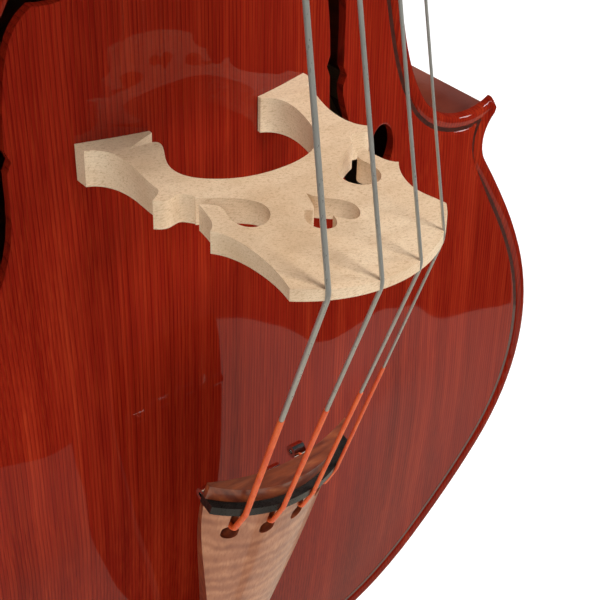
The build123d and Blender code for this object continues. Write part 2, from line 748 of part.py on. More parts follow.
low_end = body_top - neck_mortise
with BuildPart() as neck:
    with BuildSketch(side_plane.offset(-60)):
        with BuildLine():
            glue_low = (front(neck_h(low_end)), low_end)
            glue_high = (front(neck_h(nut_z)), nut_z)
            back_high = (nut_origin.Y + shaft_depth_nut * cos(lean), nut_z - shaft_depth_nut * sin(lean))
            back_low = (front(neck_h(730) - shaft_depth_heel), 730)
            Polyline((heel_bottom_y, low_end), glue_low, glue_high, back_high, back_low)
            Spline([back_low, (-70, 668), (20, 645), (heel_bottom_y, body_top + heel_length)],
                   tangents=[(-neck_slope, -1), (1, -0.15)])
            Line((heel_bottom_y, body_top + heel_length), (heel_bottom_y, low_end))
        make_face()
    extrude(amount=120)
    with BuildSketch(body_plane(joint_y + 50)):
        with BuildLine():
            Polyline((board_half(low_end), low_end), (board_half(nut_z), nut_z),
                     (-board_half(nut_z), nut_z), (-board_half(low_end), low_end), close=True)
        make_face()
    extrude(amount=400, mode=Mode.INTERSECT)
    back_edges = neck.edges().filter_by(
        lambda edge: abs(edge.center().X) > 15 and edge.center().Z > bridge_z + body_top + 20
        and edge.center().Y > front(neck_h(edge.center().Z - bridge_z)) + 15
        and edge.bounding_box().size.Z > 20)
    fillet(back_edges, 17)
save(neck.part, "neck")

# ---------------------------------------------------------------- head: pegbox and scroll
pegbox_length = 205.0
cheek_x = 29.0              # the cheeks' outer faces
cavity_half = 17.0
scroll_centre = (20.0, 250.0)
scroll_turns = [(47.0, 22.0), (35.0, 30.0), (22.0, 37.0), (11.0, 42.0)]


def head_plane_front(back):
    """Sketch plane facing the strings, back from the glue face: x to the treble, y up the head."""
    return Plane(origin=nut_origin + head_back * back, x_dir=(1, 0, 0), z_dir=-head_back)


with BuildPart() as scroll_head:
    with BuildSketch(head_side.offset(-45)):
        with BuildLine():
            Polyline((0, 0), (2, pegbox_length - 10), (8, 215))
            Spline([(0, 0), (28, 0), (52, 22), (62, 60), (60, 150),
                    (57, 215), (62, 240), (45, 290), (20, 296)],
                   tangents=[(1, 0), (-1, 0.1)])
            Line((20, 296), (8, 215))
        make_face()
    extrude(amount=90)
    with BuildSketch(head_plane_front(-10)):
        with BuildLine():
            Polyline((-board_half_nut, 0), (board_half_nut, 0), (cheek_x, 12), (cheek_x, 190),
                     (22, 215), (22, 320), (-22, 320), (-22, 215),
                     (-cheek_x, 190), (-cheek_x, 12), close=True)
        make_face()
    extrude(amount=-100, mode=Mode.INTERSECT)
    for radius, half in scroll_turns:
        with BuildSketch(head_side.offset(-half)):
            with Locations(scroll_centre):
                Circle(radius)
        extrude(amount=2 * half)
    with BuildSketch(head_plane_front(-10)):
        with BuildLine():
            Polyline((-cavity_half, 16), (cavity_half, 16), (cavity_half, 170), (10, 190), (-10, 190),
                     (-cavity_half, 170), close=True)
        make_face()
    extrude(amount=-57, mode=Mode.SUBTRACT)
    for i in range(4):
        start = post_side[i] * 60
        with BuildSketch(head_side.offset(start)):
            with Locations((post_back, post_up[i])):
                Circle(post_radius + running)
        extrude(amount=-post_side[i] * (60 + 24), mode=Mode.SUBTRACT)

# ---------------------------------------------------------------- tuning machines
wheel_teeth = 28
gear_module = 1.25
worm_pitch_radius = 6.0
wheel_pitch_radius = gear_module * wheel_teeth / 2
gear_centres = worm_pitch_radius + wheel_pitch_radius
gear_pitch = pi * gear_module
tooth_half = 0.18 * gear_pitch
flank = tan(radians(20))
tooth_out = gear_module
tooth_in = 1.2 * gear_module
wheel_width = 6.0
plate_thickness = 2.0
wheel_x = cheek_x + plate_thickness + 8.0
worm_length = 22.0
key_reach = 50.0            # from the worm's middle to the key's wings


def tooth_profile(root):
    """Corner points of one tooth, outwards from root; x is radial, y across."""
    inner = tooth_half + flank * tooth_in
    outer = tooth_half - flank * tooth_out
    return [(root - 0.5, -inner), (root, -inner), (root + tooth_in + tooth_out, -outer),
            (root + tooth_in + tooth_out, outer), (root, inner), (root - 0.5, inner)]


with BuildPart() as wheel:
    with BuildSketch(Plane.YZ.offset(-wheel_width / 2)):
        Circle(wheel_pitch_radius - tooth_in)
        with PolarLocations(0, wheel_teeth):
            with BuildLine():
                Polyline(*tooth_profile(wheel_pitch_radius - tooth_in), close=True)
            make_face()
        Circle(post_radius - 1, mode=Mode.SUBTRACT)
        with PolarLocations(10.8, 5):
            Circle(2.6, mode=Mode.SUBTRACT)
    extrude(amount=wheel_width)

post_inner = 23.0           # the post reaches this far past the middle, into the far cheek
with BuildPart() as post:
    with BuildSketch(Plane.YZ.offset(-post_inner)):
        Circle(post_radius)
    extrude(amount=post_inner + wheel_x - wheel_width / 2)
    with BuildSketch(Plane.YZ.offset(wheel_x - wheel_width / 2)):
        Circle(post_radius - 1)
    extrude(amount=wheel_width)
    with BuildSketch(Plane.YZ.offset(wheel_x + wheel_width / 2)):
        Circle(post_radius + 1.5)
    extrude(amount=1.6)
    with BuildSketch(Plane.YZ.offset(wheel_x + wheel_width / 2 + 0.8)):
        Rectangle(1.4, 20)
    extrude(amount=2, mode=Mode.SUBTRACT)

worm_root = worm_pitch_radius - tooth_in
first_thread = -2.5 * gear_pitch
with BuildPart() as worm_thread:
    with BuildLine() as path:
        Helix(gear_pitch, 5 * gear_pitch, worm_root, center=(0, 0, first_thread))
    with BuildSketch(Plane(origin=path.line @ 0, x_dir=(1, 0, 0), z_dir=path.line % 0)):
        with BuildLine():
            Polyline(*[(x - worm_root, y) for x, y in tooth_profile(worm_root)], close=True)
        make_face()
    sweep(is_frenet=True)

with BuildPart() as key:
    Cylinder(worm_root, worm_length)
    add(worm_thread.part)
    with BuildSketch(Plane.XY.offset(-worm_length / 2 - 6)):
        Circle(3.5)
    extrude(amount=6)
    with BuildSketch(Plane.XY.offset(worm_length / 2)):
        Circle(3.5)
    extrude(amount=key_reach - worm_length / 2)
    with BuildSketch(Plane.XZ):
        with BuildLine():
            Spline([(0, key_reach - 2), (9, key_reach + 2), (21, key_reach + 12),
                    (15, key_reach + 26), (0, key_reach + 20)],
                   tangents=[(1, 0), (-1, -0.3)])
            mirror(about=Plane.YZ)
        make_face()
    extrude(amount=3, both=True)

lean_rotation = -degrees(lean)
machine_plates = []
plate_screws = []
for i, name in enumerate(string_names):
    side = post_side[i]
    centre = head_point(0, post_back, post_up[i])
    turn = 0 if side > 0 else 180
    wheel_place = Location(centre + Vector(side * wheel_x, 0, 0), (lean_rotation, 0, 0))
    post_place = Location(centre, (lean_rotation, 0, 0)) * Location((0, 0, 0), (0, 0, turn))
    save(post.part.moved(post_place), f"{name}_post")
    save(wheel.part.moved(wheel_place), f"{name}_gear_wheel")
    worm_centre = head_point(side * wheel_x, post_back, post_up[i] - gear_centres)
    worm_place = Plane(origin=worm_centre, x_dir=head_up, z_dir=head_back).location
    save(key.part.moved(worm_place), f"{name}_tuning_key")

    r = string_radius[i]
    first = winding_x[i] - winding_turns * r
    with BuildPart() as winding:
        with BuildSketch(Plane.XZ):
            with Locations([(first + r + 2 * r * n, post_radius + r) for n in range(winding_turns)]):
                Circle(r)
            with Locations((winding_x[i], post_radius + r / 2)):
                Rectangle(2 * r * (winding_turns - 1), r)
        revolve(axis=Axis.X)
    save(winding.part.moved(Location(centre)), f"{name}_string_winding")

    plate_low = post_up[i] - gear_centres - 17
    plate_high = post_up[i] + 24
    inner_x = side * cheek_x
    with BuildPart() as machine_plate:
        with BuildSketch(head_side.offset(inner_x)):
            with Locations((post_back + 1, (plate_low + plate_high) / 2)):
                RectangleRounded(42, plate_high - plate_low, 8)
            with Locations((post_back, post_up[i])):
                Circle(post_radius + 0.3, mode=Mode.SUBTRACT)
        extrude(amount=side * plate_thickness)
        for back in (post_back - worm_length / 2 - 4, post_back + worm_length / 2 + 4):
            with BuildSketch(head_side.offset(inner_x + side * plate_thickness)):
                with Locations((back, post_up[i] - gear_centres)):
                    Rectangle(5, 13)
            extrude(amount=side * (wheel_x - cheek_x - plate_thickness + 6.5))
        with BuildSketch(Plane(origin=worm_centre - head_back * 30, z_dir=head_back)):
            Circle(3.5 + running)
        extrude(amount=60, mode=Mode.SUBTRACT)
        screw_spots = [(post_back + 16, plate_low + 5), (post_back - 14, plate_low + 5),
                       (post_back + 16, plate_high - 5), (post_back - 14, plate_high - 5)]
        for back, up in screw_spots:
            with BuildSketch(head_side.offset(inner_x)):
                with Locations((back, up)):
                    Circle(1.7)
            extrude(amount=side * plate_thickness, mode=Mode.SUBTRACT)
            with BuildPart(mode=Mode.PRIVATE) as screw:
                with BuildSketch(head_side.offset(inner_x - side * 9)):
                    with Locations((back, up)):
                        Circle(1.6)
                extrude(amount=side * (9 + plate_thickness))
                with BuildSketch(head_side.offset(inner_x + side * plate_thickness)):
                    with Locations((back, up)):
                        Circle(3)
                extrude(amount=side * 1.4)
            plate_screws.append(screw.part)
    machine_plates.append(machine_plate.part)

save(Compound(children=machine_plates), "machine_plates")
save(Compound(children=plate_screws), "plate_screws")

with BuildPart() as finished_head:
    add(scroll_head.part)
    for screw_piece in plate_screws:
        add(screw_piece, mode=Mode.SUBTRACT)
save(finished_head.part, "scroll_head")

# ---------------------------------------------------------------- endpin
collar_top = bridge_z + body_bottom + overhang + 40
rib_line = bridge_z + body_bottom + overhang
collar_low = rib_line - 34
tip_height = 30.0
rod_top = 470.0
screw_z = rib_line - 24

with BuildPart() as endpin_collar:
    with BuildSketch(Plane.XZ):
        with BuildLine():
            Polyline((rod_radius + running, collar_low), (13, collar_low), (15, collar_low + 2),
                     (15, rib_line - 14), (22, rib_line - 12), (22, rib_line - 8), (16, rib_line - 7),
                     (16, rib_line), (plug_radius, rib_line), (plug_radius - 1, collar_top),
                     (rod_radius + running, collar_top), close=True)
        make_face()
    revolve(axis=Axis.Z)
    with BuildSketch(Plane.XZ):
        with Locations((0, screw_z)):
            Circle(3.1)
    extrude(amount=30, mode=Mode.SUBTRACT)
save(endpin_collar.part, "endpin_collar")

with BuildPart() as endpin_rod:
    with BuildSketch(Plane.XY.offset(8)):
        Circle(rod_radius)
    extrude(amount=rod_top - 8)
    chamfer(endpin_rod.edges().sort_by(Axis.Z)[-1], 1)
save(endpin_rod.part, "endpin_rod")

with BuildPart() as endpin_tip:
    with BuildSketch(Plane.XZ):
        with BuildLine():
            Line((0, 0), (6, 0))
            bulge = ThreePointArc((6, 0), (10, 4), (10.5, 11))
            Polyline(bulge @ 1, (8, tip_height), (rod_radius, tip_height), (rod_radius, 8), (0, 8), (0, 0))
        make_face()
    revolve(axis=Axis.Z)
save(endpin_tip.part, "endpin_tip")

with BuildPart() as endpin_screw:
    with BuildSketch(Plane.XZ.offset(rod_radius + 0.3)):
        with Locations((0, screw_z)):
            Circle(3.0)
    extrude(amount=20)
    with BuildSketch(Plane.XZ.offset(18)):
        with Locations((0, screw_z)):
            Circle(4.5)
    extrude(amount=4)
    with BuildSketch(Plane.XZ.offset(22)):
        with Locations((0, screw_z)):
            SlotOverall(24, 9)
    extrude(amount=4)
save(endpin_screw.part, "endpin_screw")
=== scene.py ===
"""Looks of the double bass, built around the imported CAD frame.  Metres; +Z up, the belly faces -Y."""
import json
import math

import bmesh
import bpy
import numpy as np
from mathutils import Matrix, Vector
from mathutils.geometry import delaunay_2d_cdt

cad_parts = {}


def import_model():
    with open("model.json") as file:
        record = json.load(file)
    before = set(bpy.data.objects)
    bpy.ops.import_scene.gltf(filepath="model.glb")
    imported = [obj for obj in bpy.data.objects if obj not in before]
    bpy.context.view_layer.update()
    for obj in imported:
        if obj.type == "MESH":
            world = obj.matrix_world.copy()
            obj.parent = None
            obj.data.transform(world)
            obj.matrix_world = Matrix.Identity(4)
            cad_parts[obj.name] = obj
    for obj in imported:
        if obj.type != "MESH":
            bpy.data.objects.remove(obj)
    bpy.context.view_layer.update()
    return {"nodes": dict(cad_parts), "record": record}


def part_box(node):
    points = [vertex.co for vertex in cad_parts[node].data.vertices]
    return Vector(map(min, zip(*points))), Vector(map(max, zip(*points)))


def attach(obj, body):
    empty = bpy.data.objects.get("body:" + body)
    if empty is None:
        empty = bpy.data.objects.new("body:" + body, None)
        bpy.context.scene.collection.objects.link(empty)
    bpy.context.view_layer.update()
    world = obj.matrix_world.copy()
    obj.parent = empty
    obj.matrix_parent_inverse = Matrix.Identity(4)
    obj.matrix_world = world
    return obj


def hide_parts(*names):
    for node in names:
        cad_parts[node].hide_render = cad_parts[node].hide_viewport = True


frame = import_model()
nodes = frame["nodes"]

bridge_low, bridge_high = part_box("bridge")
bridge_z = (bridge_low.z + bridge_high.z) / 2
belly_low, belly_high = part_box("top_plate")
crown_y = belly_low.y                   # the highest place of the belly's arch
fret_low, fret_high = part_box("tailpiece_fret")
fret_middle_z = (fret_low.z + fret_high.z) / 2
TAIL_RISE = 0.336                       # the tailpiece stands out by this share of its length
tail_lean = math.atan(TAIL_RISE)
tail_front = Vector((0.0, -math.cos(tail_lean), -math.sin(tail_lean)))


# ---------------------------------------------------------------- node helpers
class Shading:
    """A material under construction: one principled shader and short calls for its nodes."""

    def __init__(self, name, roughness=0.4, metallic=0.0, coat=0.0, coat_roughness=0.03):
        self.material = bpy.data.materials.new(name)
        self.material.use_nodes = True
        self.tree = self.material.node_tree
        self.shader = self.tree.nodes["Principled BSDF"]
        self.shader.inputs["Roughness"].default_value = roughness
        self.shader.inputs["Metallic"].default_value = metallic
        self.shader.inputs["Coat Weight"].default_value = coat
        self.shader.inputs["Coat Roughness"].default_value = coat_roughness
        self.place = self.tree.nodes.new("ShaderNodeTexCoord").outputs["Object"]

    def node(self, kind, inputs=None, **settings):
        """A new node; each input takes either another node's output or a plain value."""
        made = self.tree.nodes.new(kind)
        for key, value in settings.items():
            setattr(made, key, value)
        for key, value in (inputs or {}).items():
            if isinstance(value, bpy.types.NodeSocket):
                self.tree.links.new(value, made.inputs[key])
            else:
                made.inputs[key].default_value = value
        return made

    def scaled(self, scale, turn=(0, 0, 0), shift=(0, 0, 0)):
        """Object coordinates, turned and then scaled."""
        turned = self.node("ShaderNodeMapping", {"Vector": self.place, "Rotation": turn, "Location": shift})
        stretch = self.node("ShaderNodeMapping", {"Vector": turned.outputs[0], "Scale": scale})
        return stretch.outputs[0]

    def noise(self, vector, detail=3.0, roughness=0.5, distortion=0.0):
        return self.node("ShaderNodeTexNoise",
                         {"Vector": vector, "Scale": 1.0, "Detail": detail,
                          "Roughness": roughness, "Distortion": distortion}).outputs["Fac"]

    def sum(self, a, b, operation="ADD"):
        """Two numbers added, or joined by another operation."""
        return self.node("ShaderNodeMath", {0: a, 1: b}, operation=operation).outputs[0]

    def ramp(self, value, stops):
        """A colour for a number, from stops of (position, colour)."""
        made = self.node("ShaderNodeValToRGB", {"Fac": value})
        band = made.color_ramp
        while len(band.elements) < len(stops):
            band.elements.new(0.5)
        for element, (position, colour) in zip(band.elements, stops):
            element.position = position
            element.color = (*colour, 1.0)
        return made.outputs["Color"]

    def levels(self, value, low, high, out_low=0.0, out_high=1.0):
        """A number carried from the range low..high to out_low..out_high, and kept inside it."""
        return self.node("ShaderNodeMapRange", {"Value": value, "From Min": low, "From Max": high,
                                                "To Min": out_low, "To Max": out_high}).outputs[0]

    def mix(self, factor, a, b, blend="MIX"):
        """Colour a at factor 0 and b at factor 1."""
        made = self.node("ShaderNodeMix", {"Factor": factor}, data_type="RGBA", blend_type=blend)
        for socket, value in ((made.inputs[6], a), (made.inputs[7], b)):
            if isinstance(value, bpy.types.NodeSocket):
                self.tree.links.new(value, socket)
            else:
                socket.default_value = (*value, 1.0)
        return made.outputs[2]

    def axis(self, name):
        """X, Y or Z of the shaded place, in the part's frame."""
        return self.node("ShaderNodeSeparateXYZ", {"Vector": self.place}).outputs[name]

    def colour(self, value):
        self.tree.links.new(value, self.shader.inputs["Base Color"])

    def rough(self, value):
        self.tree.links.new(value, self.shader.inputs["Roughness"])

    def bump(self, height, strength, distance):
        made = self.node("ShaderNodeBump", {"Height": height, "Strength": strength, "Distance": distance})
        self.tree.links.new(made.outputs[0], self.shader.inputs["Normal"])


def grey(level):
    return (level, level, level)


# ---------------------------------------------------------------- woods
def spruce_lines(shade):
    """Upright grain: 0 in the pale early wood, 1 in the narrow dark late wood."""
    wander = shade.noise(shade.scaled((9.0, 9.0, 0.9)), detail=2.0)
    spread = shade.noise(shade.scaled((34.0, 34.0, 0.7), shift=(3.1, 0.4, 0.0)), detail=2.0)
    across = shade.sum(shade.axis("X"), shade.sum(wander, 0.016, "MULTIPLY"))
    across = shade.sum(across, shade.sum(spread, 0.007, "MULTIPLY"))
    ring_pitch = 0.0026
    phase = shade.sum(across, 1.0 / ring_pitch, "MULTIPLY")
    ring = shade.node("ShaderNodeMath", {0: phase}, operation="FRACT").outputs[0]
    return shade.ramp(ring, [(0.0, grey(0.05)), (0.45, grey(0.12)), (0.8, grey(0.55)),
                             (0.93, grey(1.0)), (1.0, grey(0.05))])


def belly_varnish():
    """Spruce under a red-brown varnish, with strong upright grain; the clear coat alone is glossy."""
    shade = Shading("belly_spruce", roughness=0.5, coat=0.55, coat_roughness=0.03)
    shade.shader.inputs["Specular IOR Level"].default_value = 0.0
    line = spruce_lines(shade)
    fibre = shade.noise(shade.scaled((1500.0, 900.0, 22.0)), detail=2.0)
    streak = shade.noise(shade.scaled((120.0, 60.0, 1.2), shift=(0.7, 0, 2.0)), detail=3.0)
    cloud = shade.noise(shade.scaled((5.0, 5.0, 2.2)), detail=2.0)
    base = shade.ramp(streak, [(0.30, (0.185, 0.0075, 0.0030)), (0.55, (0.245, 0.0125, 0.0046)),
                               (0.72, (0.325, 0.025, 0.0080))])
    base = shade.mix(shade.sum(line, 0.7, "MULTIPLY"), base, (0.070, 0.0025, 0.0012))
    base = shade.mix(shade.levels(fibre, 0.45, 0.8, 0.0, 0.18), base, (0.66, 0.085, 0.018))
    base = shade.mix(shade.levels(cloud, 0.35, 0.7, 0.0, 0.45), base, (0.17, 0.015, 0.006), "MULTIPLY")
    shade.colour(base)
    shade.rough(shade.levels(fibre, 0.3, 0.7, 0.36, 0.5))
    shade.bump(shade.sum(line, fibre), 0.10, 0.0002)
    return shade.material


def varnished_maple():
    """Flamed maple under a deep red-brown varnish."""
    shade = Shading("varnished_maple", roughness=0.38, coat=1.0, coat_roughness=0.03)
    bend = shade.noise(shade.scaled((6.0, 6.0, 2.0)), detail=2.0)
    height = shade.sum(shade.axis("Z"), shade.sum(bend, 0.06, "MULTIPLY"))
    route = shade.node("ShaderNodeCombineXYZ",
                       {"X": shade.axis("X"), "Y": shade.axis("Y"), "Z": height}).outputs[0]
    stretched = shade.node("ShaderNodeMapping", {"Vector": route, "Scale": (9.0, 9.0, 75.0)}).outputs[0]
    flame = shade.levels(shade.noise(stretched, detail=1.5, distortion=0.3), 0.32, 0.68)
    patch = shade.noise(shade.scaled((26.0, 26.0, 9.0)), detail=3.0)
    pore = shade.noise(shade.scaled((900.0, 900.0, 60.0)), detail=2.0)
    base = shade.ramp(shade.sum(shade.sum(flame, 0.55, "MULTIPLY"), shade.sum(patch, 0.5, "MULTIPLY")),
                      [(0.15, (0.105, 0.013, 0.006)), (0.5, (0.185, 0.027, 0.009)),
                       (0.9, (0.29, 0.052, 0.015))])
    base = shade.mix(shade.levels(pore, 0.5, 0.8, 0.0, 0.35), base, (0.04, 0.008, 0.005))
    shade.colour(base)
    shade.rough(shade.levels(patch, 0.3, 0.7, 0.3, 0.44))
    shade.bump(pore, 0.05, 0.0002)
    return shade.material


def bridge_maple():
    """Pale unvarnished maple with small brown flecks on the face."""
    shade = Shading("bridge_maple", roughness=0.55)
    fleck = shade.noise(shade.scaled((330.0, 950.0, 950.0), turn=(0.35, 0.25, 0.5)), roughness=0.6)
    dash = shade.node("ShaderNodeTexVoronoi",
                      {"Vector": shade.scaled((170.0, 520.0, 600.0), turn=(0.0, 0.0, 0.45)),
                       "Randomness": 1.0}).outputs["Distance"]
    cloud = shade.noise(shade.scaled((26.0, 26.0, 30.0)), detail=3.0)
    line = shade.node("ShaderNodeTexWave",
                      {"Vector": shade.scaled((0.6, 0.6, 1.0)), "Scale": 190.0,
                       "Distortion": 3.0, "Detail": 2.0}, bands_direction="Z").outputs["Fac"]
    base = shade.ramp(cloud, [(0.3, (0.66, 0.46, 0.275)), (0.55, (0.76, 0.56, 0.36)),
                              (0.75, (0.82, 0.64, 0.43))])
    base = shade.mix(shade.levels(dash, 0.05, 0.34, 0.8, 0.0), base, (0.34, 0.165, 0.070))
    base = shade.mix(shade.levels(fleck, 0.52, 0.70, 0.0, 0.6), base, (0.44, 0.26, 0.13))
    base = shade.mix(shade.levels(line, 0.6, 1.0, 0.0, 0.14), base, (0.46, 0.30, 0.16))
    shade.colour(base)
    shade.rough(shade.levels(fleck, 0.3, 0.7, 0.48, 0.62))
    shade.bump(fleck, 0.12, 0.0002)
    return shade.material


def tailpiece_wood():
    """Tan flamed maple on the face below the fret; the end past the fret is stained dark, and the edges and
    the hollow underneath are painted dark as shade.
    """
    shade = Shading("tailpiece_wood", roughness=0.4, coat=0.4, coat_roughness=0.08)
    bend = shade.noise(shade.scaled((30.0, 30.0, 18.0)), detail=3.0)
    height = shade.sum(shade.axis("Z"), shade.sum(bend, 0.03, "MULTIPLY"))
    slant = shade.sum(shade.axis("X"), 0.4, "MULTIPLY")
    route = shade.node("ShaderNodeCombineXYZ", {"X": slant, "Z": height}).outputs[0]
    flame = shade.node("ShaderNodeTexWave",
                       {"Scale": 24.0, "Distortion": 5.0, "Detail": 3.0, "Detail Scale": 1.6,
                        "Vector": route}, bands_direction="Z").outputs["Fac"]
    fibre = shade.noise(shade.scaled((700.0, 500.0, 40.0)), detail=3.0)
    patch = shade.noise(shade.scaled((60.0, 60.0, 30.0), shift=(0.3, 0.1, 0.6)), detail=3.0)
    tone = shade.sum(shade.sum(flame, 0.25, "MULTIPLY"), shade.sum(patch, 0.8, "MULTIPLY"))
    base = shade.ramp(tone, [(0.2, (0.25, 0.062, 0.020)), (0.5, (0.38, 0.125, 0.048)),
                             (0.85, (0.54, 0.225, 0.100))])
    base = shade.mix(shade.levels(fibre, 0.45, 0.75, 0.0, 0.45), base, (0.24, 0.065, 0.022))
    # dark brown: a real stain past the fret, and painted shade on the faces turned away from the front
    stain_and_painted_shade = shade.ramp(shade.noise(shade.scaled((40.0, 240.0, 90.0)), detail=3.0),
                         [(0.3, (0.11, 0.016, 0.005)), (0.6, (0.25, 0.052, 0.014)),
                          (0.8, (0.42, 0.14, 0.042))])
    # painted shade: faces turned away from the front (the edges and the hollow underneath) take the dark
    # brown
    geometry = shade.node("ShaderNodeNewGeometry")
    facing = shade.node("ShaderNodeVectorMath", {0: geometry.outputs["Normal"], 1: tuple(tail_front)},
                        operation="DOT_PRODUCT").outputs["Value"]
    painted_shade_side = shade.levels(facing, 0.62, 0.55)
    half_blend = 0.002
    past_fret = shade.levels(shade.axis("Z"), fret_middle_z - half_blend, fret_middle_z + half_blend)
    shade.colour(shade.mix(shade.sum(painted_shade_side, past_fret, "MAXIMUM"), base, stain_and_painted_shade))
    shade.rough(shade.levels(fibre, 0.3, 0.7, 0.3, 0.45))
    shade.bump(fibre, 0.06, 0.0002)
    return shade.material


def plain_spruce():
    """Bare spruce of the inner pieces."""
    shade = Shading("plain_spruce", roughness=0.65)
    line = spruce_lines(shade)
    cloud = shade.noise(shade.scaled((40.0, 40.0, 8.0)), detail=3.0)
    base = shade.ramp(cloud, [(0.3, (0.58, 0.42, 0.24)), (0.7, (0.70, 0.55, 0.35))])
    base = shade.mix(shade.sum(line, 0.5, "MULTIPLY"), base, (0.42, 0.25, 0.11))
    shade.colour(base)
    shade.bump(line, 0.1, 0.0002)
    return shade.material


def ebony():
    """Polished black wood with a faint brown streak."""
    shade = Shading("ebony", roughness=0.34)
    shade.shader.inputs["Specular IOR Level"].default_value = 0.3
    streak = shade.noise(shade.scaled((260.0, 260.0, 6.0)), detail=4.0)
    pore = shade.noise(shade.scaled((1600.0, 1600.0, 90.0)), detail=2.0)
    base = shade.ramp(streak, [(0.35, (0.007, 0.006, 0.005)), (0.62, (0.016, 0.012, 0.010)),
                               (0.8, (0.036, 0.022, 0.014))])
    shade.colour(base)
    shade.rough(shade.levels(pore, 0.3, 0.75, 0.24, 0.42))
    shade.bump(pore, 0.08, 0.00015)
    return shade.material


def purfling():
    """Dark inlaid edge strip."""
    shade = Shading("purfling", roughness=0.35, coat=0.8, coat_roughness=0.05)
    fibre = shade.noise(shade.scaled((500.0, 500.0, 500.0)), detail=2.0)
    shade.colour(shade.ramp(fibre, [(0.3, (0.036, 0.006, 0.003)), (0.7, (0.080, 0.014, 0.006))]))
    shade.bump(fibre, 0.05, 0.0001)
    return shade.material


# ---------------------------------------------------------------- metals and the rest
def metal(name, dark, light, low, high, scale, turning=None, metallic=1.0):
    """A metal with colours dark to light and roughness low to high, brushed finely, or wound if turning."""
    shade = Shading(name, metallic=metallic, roughness=(low + high) / 2)
    grain = shade.noise(shade.scaled(scale), detail=3.0)
    smudge = shade.noise(shade.scaled((60.0, 60.0, 60.0)), detail=2.0)
    shade.colour(shade.mix(smudge, dark, light))
    shade.rough(shade.levels(grain, 0.3, 0.7, low, high))
    height = grain
    if turning:
        height = shade.node("ShaderNodeTexWave", {"Vector": shade.scaled((1.0, 1.0, 1.0)), "Scale": turning,
                                                  "Distortion": 0.6}, bands_direction="Z").outputs["Fac"]
    shade.bump(height, 0.12, 0.0001)
    return shade.material


def string_silk():
    """Orange-red silk wound closely round the string."""
    shade = Shading("string_silk", roughness=0.55)
    thread_pitch = 0.0007
    thread = shade.node("ShaderNodeTexWave", {"Vector": shade.scaled((1.0, 1.0, 1.0), turn=(0.12, 0.1, 0.0)),
                                              "Scale": math.pi / 10 / thread_pitch, "Distortion": 0.4},
                        bands_direction="Z").outputs["Fac"]
    uneven = shade.noise(shade.scaled((240.0, 240.0, 120.0)), detail=2.0)
    base = shade.ramp(uneven, [(0.3, (0.80, 0.085, 0.010)), (0.7, (0.92, 0.16, 0.02))])
    # painted shade: the grooves between the thread's turns are coloured darker
    base = shade.mix(shade.levels(thread, 0.0, 0.6, 0.45, 0.0), base, (0.36, 0.035, 0.010))
    shade.colour(base)
    shade.bump(thread, 0.5, 0.0002)
    return shade.material


def rubber():
    """Dull black rubber, scuffed grey in places."""
    shade = Shading("rubber", roughness=0.8)
    grain = shade.noise(shade.scaled((900.0, 900.0, 900.0)), detail=3.0)
    scuff = shade.noise(shade.scaled((90.0, 90.0, 300.0)), detail=4.0)
    shade.colour(shade.ramp(scuff, [(0.4, (0.018, 0.018, 0.018)), (0.75, (0.05, 0.048, 0.045))]))
    shade.rough(shade.levels(scuff, 0.3, 0.7, 0.7, 0.9))
    shade.bump(grain, 0.3, 0.0002)
    return shade.material


materials = {
    "belly_spruce": belly_varnish(),
    "varnished_maple": varnished_maple(),
    "bridge_maple": bridge_maple(),
    "tailpiece_wood": tailpiece_wood(),
    "plain_spruce": plain_spruce(),
    "ebony": ebony(),
    "purfling": purfling(),
    "string_silk": string_silk(),
    "rubber": rubber(),
    "string_steel": metal("string_steel", (0.40, 0.39, 0.34), (0.56, 0.54, 0.48), 0.26, 0.38, (900, 900, 60),
                          turning=420.0, metallic=0.6),
    "chrome": metal("chrome", (0.72, 0.73, 0.74), (0.80, 0.80, 0.80), 0.06, 0.14, (300, 300, 300)),
    "post_steel": metal("post_steel", (0.42, 0.42, 0.43), (0.56, 0.56, 0.56), 0.25, 0.4, (80, 900, 900)),
    "brass": metal("brass", (0.56, 0.38, 0.13), (0.74, 0.55, 0.24), 0.22, 0.38, (500, 500, 80)),
}

for part in frame["record"]["subparts"]:
    node = nodes[part["node"]]
    node.data.materials.clear()
    node.data.materials.append(materials[part["material_slot"]])


# ---------------------------------------------------------------- arched plates
GLUE_Y = 0.100                  # the ribs' edges, where the plates are glued on
EDGE_BEAD = 0.0034              # radius of the plates' rounded edge
CHANNEL = 0.0057                # height of the plates over the glue plane beside the purfling
GROOVE = 0.0049                 # height under the purfling
PLATE_THICKNESS = 0.0065
EDGE_HEIGHTS = (                # distance from the outline, height over the glue plane
    (EDGE_BEAD, 2 * EDGE_BEAD), (0.0050, 2 * EDGE_BEAD - 0.0003), (0.0078, CHANNEL),
    (0.0086, CHANNEL - 0.0001), (0.0090, GROOVE), (0.0122, GROOVE), (0.0126, CHANNEL),
    (0.0150, CHANNEL + 0.0001))
ARCH_START = 0.0130             # the edge's heights pass into the arch from this distance
ARCH_BLEND = 0.008              # over this width
FLAT_RIM = 0.0135               # the arch is measured further inside than this
FIELD_STEP = 0.006              # spacing of the measured heights
HOLLOW_START = 0.03             # inside this distance the plate's back leaves the glue plane
HOLLOW_BLEND = 0.02
HOLE_EASE = 0.0012              # a sound hole's rim drops over this width
HOLE_DROP = 0.0005              # by this much

